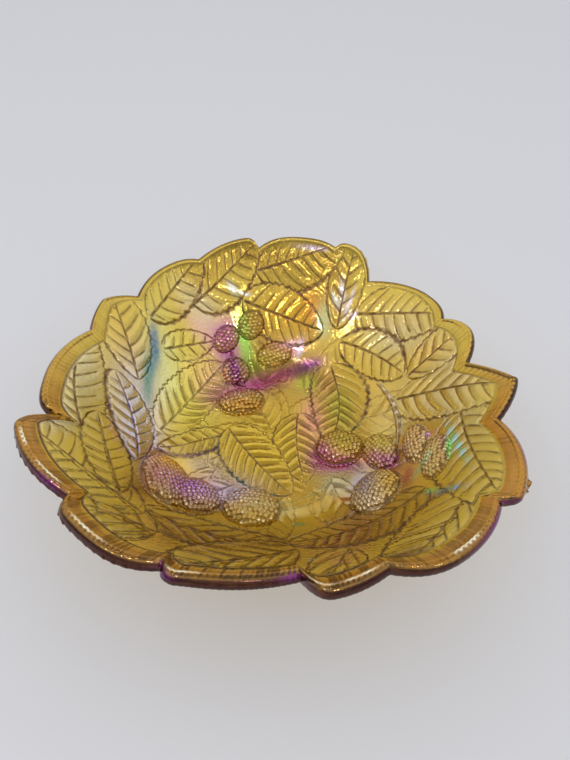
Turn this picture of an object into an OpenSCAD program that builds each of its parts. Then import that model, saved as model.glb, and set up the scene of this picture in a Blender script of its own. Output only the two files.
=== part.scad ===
// Oval pressed glass bowl with a leafy rim and raised bramble berries inside.
// The whole wall is a ring of pressed leaves, each with its own rounded edge.
// +X runs along the bowl, +Y away from its front, +Z up. The foot rests on z = 0.
// Dimensions are in millimetres.

/* [Bowl] */
// Length of the smooth oval that the leafy rim follows
bowl_length = 282; // [240:1:320]
// Width of that oval
bowl_width = 260; // [224:1:300]
// Rise of the inside from the floor up to the oval
wall_rise = 68.5; // [50:0.5:80]
// Share of the radius that is flat floor
floor_share = 0.4; // [0.36:0.01:0.46]
// Steepness of the wall where it meets the oval, 1 being its average
rim_flare = 0.63; // [0.4:0.01:1]
// Thickness of the glass at the floor and between two leaves
glass_t = 4.5; // [3.5:0.1:6]

/* [Rim leaves] */
// Extra thickness in the middle of each rim leaf
leaf_swell = 1.6; // [0.6:0.1:3]
// Share of the radius at which the rim leaves start
leaf_start = 0.56; // [0.5:0.01:0.64]
// How full and round the leaf tips are, 1 being as listed below for each
fullness = 1; // [0.8:0.05:1.3]
// Height of the rounded edge along the rim
edge_height = 4; // [2.5:0.1:6]
// How far the rounded edge stands out past the leaf on each side
edge_stand = 0.7; // [0.2:0.1:1.2]

/* [Raised work inside] */
// Height of the raised leaves
inner_leaf_height = 2.2; // [1:0.1:4]
// Height of the berries, as a share of their width
berry_height = 0.27; // [0.22:0.01:0.5]
// Depth of the hollows between the drupelets, as a share of the berry's size
drupelet_depth = 0.05; // [0.01:0.01:0.08]
// Height of the stems
stem_height = 3; // [1.5:0.1:5]
// How far raised work is sunk into the glass that carries it
seat = 0.5; // [0.2:0.1:1]

/* [Foot] */
// Outer diameter of the foot ring
foot_d = 104; // [80:1:104]
// Width of the foot ring's wall
foot_w = 6; // [4:0.5:12]
// Height of the foot ring
foot_height = 3.5; // [2:0.1:8]

/* [Hidden] */
$fn = 96;
half_length = bowl_length / 2;
half_width = bowl_width / 2;
floor_z = foot_height + glass_t;
leaf_cols = 8;
leaf_rows = 7;
body_rows = 4;
edge_points = 4;
berry_sides = 18;
berry_rings = 6;
inner_rows = 12;
inner_cols = 4;

// Rim leaves, counted from the right: angle and reach of the notch before each leaf,
// angle and reach of its tip, then how full the edge is before and after the tip.
// Reach is where the rounded edge ends, 1 being the oval.
rim = [
    [-11.5, 0.924, -1, 1, 1.3, 0.95],
    [10.5, 0.872, 19.5, 0.943, 1.8, 1.9],
    [27.5, 0.897, 38, 0.928, 4, 1.5],
    [56.5, 0.875, 68, 1, 2.2, 2.2],
    [71, 0.972, 83, 1, 3, 2.6],
    [96.5, 0.95, 101, 1, 3, 1.6],
    [117, 0.943, 124, 0.962, 2, 2.2],
    [141, 0.903, 150, 0.969, 1.3, 1.3],
    [160, 0.925, 178, 0.976, 1.8, 6],
    [191, 0.91, 195, 1.048, 2.2, 1.7],
    [216, 0.96, 224, 1.013, 4, 3.6],
    [244.5, 0.95, 249, 0.988, 3, 0.8],
    [276, 0.895, 282, 1, 2.2, 1.6],
    [295, 0.968, 310, 1.064, 2.6, 2.2],
    [323.5, 1.022, 326.5, 1.07, 2.2, 1.5]
];
leaf_count = len(rim);

// Raised leaves inside: start, end, sideways bend and half width.
inner_leaves = [
    [[-26, 95], [26, 80], 4, 15],
    [[42, 72], [80, 48], 3, 15],
    [[41, 60], [42, 10], -3, 21],
    [[-104, 22], [-87, -34], -3, 13],
    [[-102, -24], [-74, -70], 4, 13],
    [[-84, 62], [-46, 8], -5, 19],
    [[-33, 4], [-6, -40], 3, 19],
    [[13, 14], [13, -24], 0, 13]
];

// Berries: place, length, width and the way the length points.
berries = [
    [[-20, 84], 23, 19, 80],
    [[-38, 74], 22, 18, 70],
    [[-3, 69], 28, 19, 20],
    [[-31, 56], 23, 20, 120],
    [[-26, 30], 34, 23, 10],
    [[41, -9], 35, 28, 15],
    [[68, -14], 33, 24, 122],
    [[61, -48], 40, 36, 60],
    [[88, -18], 32, 20, 95],
    [[95, -36], 34, 20, 75],
    [[-69, -42], 47, 38, 108],
    [[-51, -48], 36, 32, 20],
    [[-16, -53], 39, 31, 175],
];

// Stems: start, end, sideways bend and half width.
stems = [
    [[70, 38], [78, -12], 6, 2.5],
    [[-24, 44], [-34, 68], 3, 2.5],
    [[-58, -34], [-20, -44], -6, 2.5]
];

function numbered(word, i) = str(word, i < 9 ? "0" : "", i + 1);

function oval(a) = 1 / norm([cos(a) / half_length, sin(a) / half_width]);

function climb(q) = max(0, (q - floor_share) / (1 - floor_share));

function rise(q) = let(t = climb(q)) wall_rise * ((3 - rim_flare) * t * t + (rim_flare - 2) * t * t * t);

function steepness(a, r) =
    let(t = climb(r / oval(a)))
    wall_rise * (2 * (3 - rim_flare) * t + 3 * (rim_flare - 2) * t * t) / ((1 - floor_share) * oval(a));

// Direction pointing up and inwards, square to the inner face.
function facing(a, r) =
    let(s = atan(steepness(a, r)))
    [-sin(s) * cos(a), -sin(s) * sin(a), cos(s)];

// Direction running outwards and up along the inner face.
function uphill(a, r) =
    let(s = atan(steepness(a, r)))
    [cos(s) * cos(a), cos(s) * sin(a), sin(s)];

function inside(a, r, lift = 0) =
    [r * cos(a), r * sin(a), floor_z + rise(r / oval(a))] + lift * facing(a, r);

function next_leaf(i) = (i + 1) % leaf_count;

function leaf_span(i) = (rim[next_leaf(i)][0] - rim[i][0] + 360) % 360;

function leaf_angle(i, u) = rim[i][0] + u * leaf_span(i);

function tip_share(i) = (rim[i][2] - rim[i][0]) / leaf_span(i);

function leaf_reach(i, u) =
    let(w = tip_share(i))
    let(notch = u < w ? rim[i][1] : rim[next_leaf(i)][1])
    let(away = u < w ? 1 - u / w : (u - w) / (1 - w))
    let(full = fullness * (u < w ? rim[i][4] : rim[i][5]))
    notch + (rim[i][3] - notch) * (1 - pow(away, full));

function rim_radius(i, u) = leaf_reach(i, u) * oval(leaf_angle(i, u)) - edge_height;

function leaf_radius(i, u, v) =
    let(low = leaf_start * oval(leaf_angle(i, u)))
    low + v * (rim_radius(i, u) - low);

function leaf_t(u, v) = glass_t + leaf_swell * sin(180 * u) * sin(90 * min(1, 1.6 * v));

// Faces of a strip between two rows of points that start at numbers p and q.
function strip(p, q, n, closed) = [
    for (j = [0 : n - (closed ? 1 : 2)])
    let(k = (j + 1) % n)
    each [[p + j, p + k, q + k], [p + j, q + k, q + j]]
];

// Closed solid through rings of points, ended by one point at each side.
module stack(first, rings, last) {
    n = len(rings[0]);
    m = len(rings);
    points = concat([first], [for (ring = rings) each ring], [last]);
    sides = [for (i = [0 : m - 2]) each strip(1 + i * n, 1 + (i + 1) * n, n, true)];
    start = [for (j = [0 : n - 1]) [0, 1 + (j + 1) % n, 1 + j]];
    finish = [for (j = [0 : n - 1]) [m * n + 1, (m - 1) * n + 1 + j, (m - 1) * n + 1 + (j + 1) % n]];
    polyhedron(points = points, faces = concat(start, sides, finish));
}

// Closed slab between an upper and a lower sheet with equal rows.
module slab(upper, lower) {
    sections = [
        for (i = [0 : len(upper) - 1])
        concat(upper[i], [for (j = [len(lower[i]) - 1 : -1 : 0]) lower[i][j]])
    ];
    n = len(sections[0]);
    c = len(upper[0]);
    last = (len(sections) - 1) * n;
    points = [for (section = sections) each section];
    sides = [for (i = [0 : len(sections) - 2]) each strip(i * n, (i + 1) * n, n, true)];
    start = [for (j = [0 : c - 2]) each [[n - 1 - j, n - 2 - j, j + 1], [n - 1 - j, j + 1, j]]];
    finish = [
        for (j = [0 : c - 2])
        each [[last + j, last + j + 1, last + n - 2 - j], [last + j, last + n - 2 - j, last + n - 1 - j]]
    ];
    polyhedron(points = points, faces = concat(start, sides, finish));
}

module bowl_body() {
    shares = [for (k = [0 : body_rows]) floor_share + (leaf_start - floor_share) * k / body_rows];
    angles = [for (i = [0 : leaf_count - 1]) for (j = [0 : leaf_cols - 1]) leaf_angle(i, j / leaf_cols)];
    upper = [for (q = shares) [for (a = angles) inside(a, q * oval(a))]];
    lower = [for (q = shares) [for (a = angles) inside(a, q * oval(a), -glass_t)]];
    color("DarkGoldenrod")
    stack([0, 0, floor_z], concat(upper, [for (k = [body_rows : -1 : 0]) lower[k]]), [0, 0, foot_height]);
}

module foot_ring() {
    color("Peru")
    rotate_extrude() translate([foot_d / 2 - foot_w, 0]) square([foot_w, foot_height]);
}

// Points of the rounded edge over one face of the leaf: side 1 is inside, side -1 outside.
function edge_arc(i, u, side) =
    let(a = leaf_angle(i, u))
    let(r = rim_radius(i, u))
    let(t = leaf_t(u, 1))
    let(middle = inside(a, r, -t / 2))
    [
        for (k = [0 : edge_points - 1])
        let(f = -35 + 250 * k / (2 * edge_points - 1))
        middle + side * (t / 2 + edge_stand) * cos(f) * facing(a, r)
            + edge_height / 2 * (sin(f) + 1) * uphill(a, r)
    ];

function leaf_face(i, u, side) = [
    for (k = [0 : leaf_rows])
    let(v = k / leaf_rows)
    inside(leaf_angle(i, u), leaf_radius(i, u, v), side > 0 ? 0 : -leaf_t(u, v))
];

module rim_leaf(i) {
    places = [for (j = [0 : leaf_cols]) j / leaf_cols];
    color(i % 2 == 0 ? "Goldenrod" : "DarkOrange")
    slab(
        [for (u = places) concat(leaf_face(i, u, 1), edge_arc(i, u, 1))],
        [for (u = places) concat(leaf_face(i, u, -1), edge_arc(i, u, -1))]
    );
}

// Slab that lies on the inner face along a bent line, with a toothed outline.
module raised(line, height, teeth) {
    from = line[0];
    along = line[1] - line[0];
    side = [-along[1], along[0]] / norm(along);
    function width(u) = line[3] * (0.08 + 0.92 * pow(sin(180 * pow(u, 0.8)), 0.7));
    function spot(i, v) =
        let(u = i / inner_rows)
        let(tooth = 1 + teeth * (i % 2))
        from + u * along + (line[2] * sin(180 * u) + v * width(u) * tooth) * side;
    function on_glass(p, lift) = inside(atan2(p[1], p[0]), norm(p), lift);
    cross = [for (j = [0 : inner_cols]) 1 - 2 * j / inner_cols];
    upper = [for (i = [0 : inner_rows]) [for (v = cross) on_glass(spot(i, v), height * (1 - 0.7 * v * v))]];
    lower = [for (i = [0 : inner_rows]) [for (v = cross) on_glass(spot(i, v), -seat)]];
    slab(upper, lower);
}

module inner_leaf(k) {
    color("Khaki")
    raised(inner_leaves[k], inner_leaf_height, 0.12);
}

module stem(k) {
    color("Olive")
    raised(stems[k], stem_height, 0);
}

module berry(k) {
    place = berries[k][0];
    long = berries[k][1] / 2;
    wide = berries[k][2] / 2;
    high = berries[k][2] * berry_height + seat;
    a = atan2(place[1], place[0]);
    r = norm(place);
    function bump(i, j) = 1 + drupelet_depth * (i == 0 ? 0 : pow(-1, i + j));
    rings = [
        for (i = [0 : berry_rings - 1])
        let(f = 82 * i / (berry_rings - 1))
        [for (j = [0 : berry_sides - 1])
            let(g = 360 * j / berry_sides)
            bump(i, j) * [long * cos(f) * cos(g), wide * cos(f) * sin(g), high * sin(f)]]
    ];
    color("Sienna")
    translate(inside(a, r, -seat))
    rotate([0, -atan(steepness(a, r)), a])
    rotate([0, 0, berries[k][3] - a])
    stack([0, 0, 0], rings, [0, 0, high * (1 + drupelet_depth)]);
}

bowl_body();
foot_ring();
for (i = [0 : leaf_count - 1]) {
    rim_leaf(i);
}
for (k = [0 : len(inner_leaves) - 1]) {
    inner_leaf(k);
}
for (k = [0 : len(stems) - 1]) {
    stem(k);
}
for (k = [0 : len(berries) - 1]) {
    berry(k);
}
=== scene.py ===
"""Looks of the leafy pressed glass bowl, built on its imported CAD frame.

The bowl's own lengths are in millimetres. The camera, the table and the lamps are in metres.
"""

import math

import bpy
import numpy as np
from mathutils import Euler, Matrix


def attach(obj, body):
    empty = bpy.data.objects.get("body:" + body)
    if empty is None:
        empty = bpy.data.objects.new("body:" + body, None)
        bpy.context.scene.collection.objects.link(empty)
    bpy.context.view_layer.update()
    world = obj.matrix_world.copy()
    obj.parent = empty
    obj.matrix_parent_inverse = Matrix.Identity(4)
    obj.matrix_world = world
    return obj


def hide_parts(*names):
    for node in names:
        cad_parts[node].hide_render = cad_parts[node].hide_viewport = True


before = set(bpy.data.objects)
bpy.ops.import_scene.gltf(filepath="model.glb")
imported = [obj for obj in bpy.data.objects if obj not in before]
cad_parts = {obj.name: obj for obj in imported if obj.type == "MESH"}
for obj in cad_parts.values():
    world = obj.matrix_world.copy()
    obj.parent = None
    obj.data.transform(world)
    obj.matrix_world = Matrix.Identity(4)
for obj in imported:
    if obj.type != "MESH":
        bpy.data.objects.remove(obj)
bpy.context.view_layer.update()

# ---------------------------------------------------------------- camera

# Degrees up from looking straight down.
CAMERA_TILT = 39

camera_data = bpy.data.cameras.new("camera")
camera_data.lens = 27.5
camera_data.sensor_width = 36
camera_data.clip_start = 0.01
camera_data.clip_end = 20
camera = bpy.data.objects.new("camera", camera_data)
camera.location = (0.005, -0.217, 0.338)
camera.rotation_euler = Euler((math.radians(CAMERA_TILT), 0, 0))
bpy.context.scene.collection.objects.link(camera)
bpy.context.scene.camera = camera

# ---------------------------------------------------------------- shape of the bowl

# Metres in a millimetre.
MM = 0.001

# Inner face: half length and half width of the full oval, the flat floor's share of them, the floor's
# height, the wall's rise above it, and how steep the wall still is at the full oval.
HALF_LENGTH = 141.0
HALF_WIDTH = 130.0
FLOOR_SHARE = 0.4
FLOOR_Z = 8.0
RISE = 68.5
FLARE = 0.63

# Glass: its thickness, how much of that is left for the relief, the swell in the middle of a rim leaf,
# and the share of the full oval where the rim leaves start.
GLASS_T = 4.5
RELIEF_ROOM = 0.6
SWELL = 1.6
LEAF_START = 0.56

# Rounded edge: how high it stands and how far it stands out from the faces, and how much less at the back.
EDGE_HEIGHT = 6.0
EDGE_STAND = 1.9
BACK_LESS_HEIGHT = 3.6
BACK_LESS_STAND = 1.4

# Share of the rim leaves' length where the faces start to roll into the edge, how much later at the back,
# the share where the edge's colours start, and how much of those colours lies on the roll.
ROLL_START = 0.915
BACK_ROLL_LATER = 0.065
EDGE_COLOUR_START = 0.91
ROLL_COLOURS = 0.12

# Pressed leaves: gap and width of the veins, width of the midrib and the outline, how much the glass
# puffs up between the veins, the outline's teeth, and the height of a flat and of a crowned leaf.
VEIN_GAP = 7.5
VEIN_WIDTH = 0.5
RIB_WIDTH = 0.62
EDGE_WIDTH = 0.6
PUFF = 0.28
TEETH = 0.03
LEAF_LIFT = 0.25
LEAF_CROWN = 0.8
# Leaves whose middle lies before this Y stand on the front wall and have fewer, more slanting veins.
FRONT_WALL_Y = -75

# Share of the pressed height, and depth of the engraved lines, on the inner and on the outer face.
INNER_RELIEF = 0.6
OUTER_RELIEF = 0.5
INNER_LINE_DEPTH = 0.4
OUTER_LINE_DEPTH = 0.3

# Foot ring: outer and inner radius, the width of its sides, and its clearance above the table.
FOOT_OUT = 52.0
FOOT_IN = 46.0
FOOT_SIDE = 2.0
FOOT_CLEARANCE = 0.1

# Rim leaves: angle and reach of the notch before each leaf, angle and reach of its tip,
# then how full the edge is before and after the tip.
RIM = [
    (-11.5, 0.924, -1, 1.0, 1.3, 0.95),
    (10.5, 0.872, 19.5, 0.943, 1.8, 1.9),
    (27.5, 0.897, 38, 0.928, 4, 1.5),
    (56.5, 0.875, 68, 1.0, 2.2, 2.2),
    (71, 0.972, 83, 1.0, 3, 2.6),
    (96.5, 0.95, 101, 1.0, 3, 1.6),
    (117, 0.943, 124, 0.962, 2, 2.2),
    (141, 0.903, 150, 0.969, 1.3, 1.3),
    (160, 0.925, 178, 0.976, 1.8, 6),
    (191, 0.91, 195, 1.048, 2.2, 1.7),
    (216, 0.96, 224, 1.013, 4, 3.6),
    (244.5, 0.95, 249, 0.988, 3, 0.8),
    (276, 0.895, 282, 1.0, 2.2, 1.6),
    (295, 0.968, 310, 1.064, 2.6, 2.2),
    (323.5, 1.022, 326.5, 1.07, 2.2, 1.5),
]

# Pressed leaves, from the lowest to the top one: base, tip, sideways bend, half width, place of the
# widest part, then the weight of the outline on the left and on the right going from base to tip.
LEAVES = [
    ((85, -58), (6, -84), 6, 15, 0.4, 1.0, 1.0),
    ((-74, -70), (8, -84), -4, 13, 0.4, 1.0, 1.0),
    ((39, -96), (22, -130), -1, 14, 0.45, 1.0, 1.0),
    ((104, -66), (48, -122), 5, 18, 0.45, 0.45, 1.0),
    ((112, -7), (113, -92), -2, 21, 0.5, 0.4, 1.2),
    ((80, 22), (141, -9), 3, 18, 0.45, 1.0, 1.3),
    ((88, 33), (126, 47), 0, 12, 0.5, 1.2, 1.0),
    ((56, 82), (114, 57), 2, 15, 0.45, 1.0, 1.4),
    ((43, 78), (57, 122), 1, 13, 0.5, 1.4, 1.2),
    ((-16, 110), (48, 122), 1, 17, 0.55, 1.0, 1.6),
    ((-60, 86), (-15, 126), 0, 15, 0.5, 1.0, 1.6),
    ((-88, 68), (-55, 113), 1, 13, 0.5, 1.0, 1.6),
    ((-93, 28), (-112, 73), -1, 16, 0.62, 1.4, 1.0),
    ((-114, -24), (-122, 44), 6, 16, 0.45, 1.0, 1.0),
    ((12, -92), (-58, -116), 1, 20, 0.45, 1.0, 1.0),
    ((-62, -90), (-112, -82), -4, 16, 0.5, 1.0, 1.0),
    ((-72, -76), (-140, -34), -1, 16, 0.55, 1.0, 1.0),
    ((-86, -64), (-110, -8), 1, 11, 0.55, 1.2, 1.4),
    ((-86, -30), (-106, 26), -3, 11, 0.55, 2.0, 1.0),
    ((-80, 54), (-46, 71), 1, 8, 0.4, 0.6, 0.6),
    ((-78, 0), (-40, 60), 2, 16, 0.45, 0.6, 0.6),
    ((-34, 2), (-78, -14), -2, 10, 0.4, 2.6, 0.8),
    ((14, 20), (18, -34), -3, 16, 0.4, 0.7, 1.0),
    ((-34, 8), (9, -43), -2, 18, 0.4, 0.7, 2.2),
    ((38, 60), (35, -4), 7, 20, 0.4, 2.2, 1.4),
    ((45, 71), (86, 36), 4, 12, 0.5, 2.0, 1.2),
    ((-26, 95), (33, 79), 2, 14, 0.45, 1.0, 1.4),
]

# Berries: place, length, width and the way the length points.
BERRIES = [
    ((-20, 84), 23, 19, 80),
    ((-38, 74), 22, 18, 70),
    ((-3, 69), 28, 19, 20),
    ((-31, 56), 23, 20, 120),
    ((-26, 30), 34, 23, 10),
    ((41, -9), 35, 28, 15),
    ((68, -14), 33, 24, 122),
    ((61, -48), 40, 36, 60),
    ((88, -18), 32, 20, 95),
    ((95, -36), 34, 20, 75),
    ((-69, -42), 47, 38, 108),
    ((-51, -48), 36, 32, 20),
    ((-16, -53), 39, 31, 175),
]

# Stems: start, end, sideways bend and half width.
STEMS = [
    ((70, 38), (78, -12), 6, 2.5),
    ((-24, 44), (-34, 68), 3, 2.5),
    ((-58, -34), (-20, -44), -6, 2.5),
]


def oval(a):
    """Radius of the full oval at angle a."""
    return 1 / np.hypot(np.cos(a) / HALF_LENGTH, np.sin(a) / HALF_WIDTH)


def climb(a, r):
    """0 on the floor, growing to 1 on the full oval."""
    return np.maximum(0, (r / oval(a) - FLOOR_SHARE) / (1 - FLOOR_SHARE))


def inside_z(a, r):
    """Height of the inner face at angle a and radius r."""
    t = climb(a, r)
    return FLOOR_Z + RISE * ((3 - FLARE) * t**2 + (FLARE - 2) * t**3)


def tilt(a, r):
    """Slope of the inner face, in radians."""
    t = climb(a, r)
    grade = RISE * (2 * (3 - FLARE) * t + 3 * (FLARE - 2) * t**2)
    return np.arctan(grade / ((1 - FLOOR_SHARE) * oval(a)))


def across(values, a):
    """Turns (outward, up) pairs at angles a into points."""
    out, up = values
    return np.stack([out * np.cos(a), out * np.sin(a), up], axis=-1)


def smooth(x):
    """0 below 0, 1 above 1 and a soft step between them."""
    x = np.clip(x, 0, 1)
    return x * x * (3 - 2 * x)


def band(x, start, end, rise, fall=None):
    """A soft step up that starts at start, and a soft step down that starts at end."""
    return smooth((x - start) / rise) * (1 - smooth((x - end) / (fall or rise)))


def mark(distance, width):
    """A line with a flat middle and soft sides."""
    return np.exp(-((distance / width) ** 4))


def ripple(x, y, warp, x_waves, y_waves):
    """Uneven waves from -1 to 1 at plan points."""
    first = np.sin(x_waves[0] * x + warp * np.sin(x_waves[1] * y))
    return first * np.sin(y_waves[0] * y + warp * np.sin(y_waves[1] * x))


def mix(first, second, share):
    """Colours on the way from a first to a second one, by a share for each point."""
    share = share[..., None]
    return first * (1 - share) + second * share


# ---------------------------------------------------------------- pressed pattern

# Rings of faint leaves: how many, the first one's angle, inner and outer share of the full oval, half width.
UNDER_RINGS = [(9, 12, 0.05, 0.36, 15), (17, 0, 0.34, 0.66, 14)]
# Degrees that a faint leaf leans, its bend, and the strength of its lines.
UNDER_LEAN = 9
UNDER_BEND = 3
UNDER_LINES = 0.55


def leaf_shape(s, widest):
    """Half width of a leaf at share s of its length, 1 at the widest place."""
    s = np.clip(s, 0, 1)
    p, q = 1.15 * widest, 1.15 * (1 - widest)
    return s**p * (1 - s) ** q / (widest**p * (1 - widest) ** q)


def under_leaves():
    """Faint leaves that fill the ground between the others."""
    made = []
    for count, first, inner, outer, half in UNDER_RINGS:
        for k in range(count):
            side = (-1) ** k
            turn = math.radians(first + 360 / count * k)
            end = turn + math.radians(UNDER_LEAN * side)
            base = (inner * oval(turn) * math.cos(turn), inner * oval(turn) * math.sin(turn))
            tip = (outer * oval(turn) * math.cos(end), outer * oval(turn) * math.sin(end))
            made.append((base, tip, UNDER_BEND * side, half, 0.5, 0.6, 0.6))
    return made


def press_leaf(x, y, base, tip, bend, half, widest, left, right):
    """One leaf at plan points: how far inside it they are (0 to 1), its height in mm, lines and outline."""
    base, tip = np.array(base, float), np.array(tip, float)
    length = np.hypot(*(tip - base))
    along = (tip - base) / length

    # s runs from base to tip, and w is the distance from the bent midrib, above 0 on its left.
    s = ((x - base[0]) * along[0] + (y - base[1]) * along[1]) / length
    w = -(x - base[0]) * along[1] + (y - base[1]) * along[0] - 4 * bend * s * (1 - s)

    # The outline has small uneven teeth; d is 0 on the midrib and 1 on the outline.
    run = s * length * 1.3 + base[0]
    limit = half * leaf_shape(s, widest) * (1 + TEETH * np.sin(run) + 0.5 * TEETH * np.sin(2.3 * run))
    on_axis = (s > 0) * (s < 1)
    inside = smooth((limit - np.abs(w)) / 0.6) * on_axis
    d = np.clip(np.abs(w) / np.maximum(limit, 0.1), 0, 1)

    # The veins leave the midrib at a slant, sway a little, and stop at different places before the outline.
    on_front_wall = (base[1] + tip[1]) / 2 <= FRONT_WALL_Y
    slant, gap = (1.3, 1.5 * VEIN_GAP) if on_front_wall else (0.5, VEIN_GAP)
    sway = 0.09 * np.sin(2.1 * s * length / 9 + base[1])
    phase = (s * length - slant * np.abs(w) - 0.022 * w * w) / gap + 0.5 * (w > 0) + sway
    vein = np.abs(np.mod(phase, 1) - 0.5) * gap / math.hypot(1, slant + 0.3)
    stop = 0.72 + 0.16 * np.sin(2.7 * np.floor(phase) + base[0])
    fade = (1 - smooth((d - stop) / 0.2)) * band(s, 0, 0.86, 0.1)
    veins = 0.85 * mark(vein, VEIN_WIDTH * (1.15 - 0.5 * d)) * fade

    rib = mark(w, RIB_WIDTH * (1.2 - 0.5 * s)) * band(s, 0, 0.92, 0.03, 0.08)
    weight = np.where(w > 0, left, right) * (1 + 0.25 * np.sin(0.5 * run))
    edge = mark(limit - np.abs(w), EDGE_WIDTH * weight) * on_axis
    puff = PUFF * np.cos(2 * math.pi * np.mod(phase, 1)) * fade
    height = LEAF_LIFT + LEAF_CROWN * (1 - d**2.2) + puff
    return inside, height, np.maximum(np.maximum(veins, rib), edge), edge


def pattern(x, y):
    """Height of the pressed work in mm and strength of its engraved lines at plan points."""
    shape = x.shape
    x, y = x.ravel(), y.ravel()
    height = np.zeros_like(x)
    line = np.zeros_like(x)
    for leaf, line_weight in [(leaf, UNDER_LINES) for leaf in under_leaves()] + [(leaf, 1.0) for leaf in LEAVES]:
        base, tip, bend, half = leaf[:4]
        middle_x, middle_y = (base[0] + tip[0]) / 2, (base[1] + tip[1]) / 2
        reach_out = math.hypot(tip[0] - base[0], tip[1] - base[1]) / 2 + half + abs(bend)
        near = np.nonzero((x - middle_x) ** 2 + (y - middle_y) ** 2 < reach_out**2)[0]
        inside, rise, own, edge = press_leaf(x[near], y[near], *leaf)
        height[near] = height[near] * (1 - inside) + inside * rise
        line[near] = np.maximum(line[near] * (1 - inside) + inside * own * line_weight, edge * line_weight)

    # The pressing is a little wavy, and the lines are cut a little unevenly.
    height += 0.05 * ripple(x, y, 2, (1.3, 0.7), (1.5, 0.6))
    line *= 0.8 + 0.2 * ripple(x, y, 2, (0.55, 0.31), (0.47, 0.37))
    return height.reshape(shape), line.reshape(shape)


# ---------------------------------------------------------------- colour of the film

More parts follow.
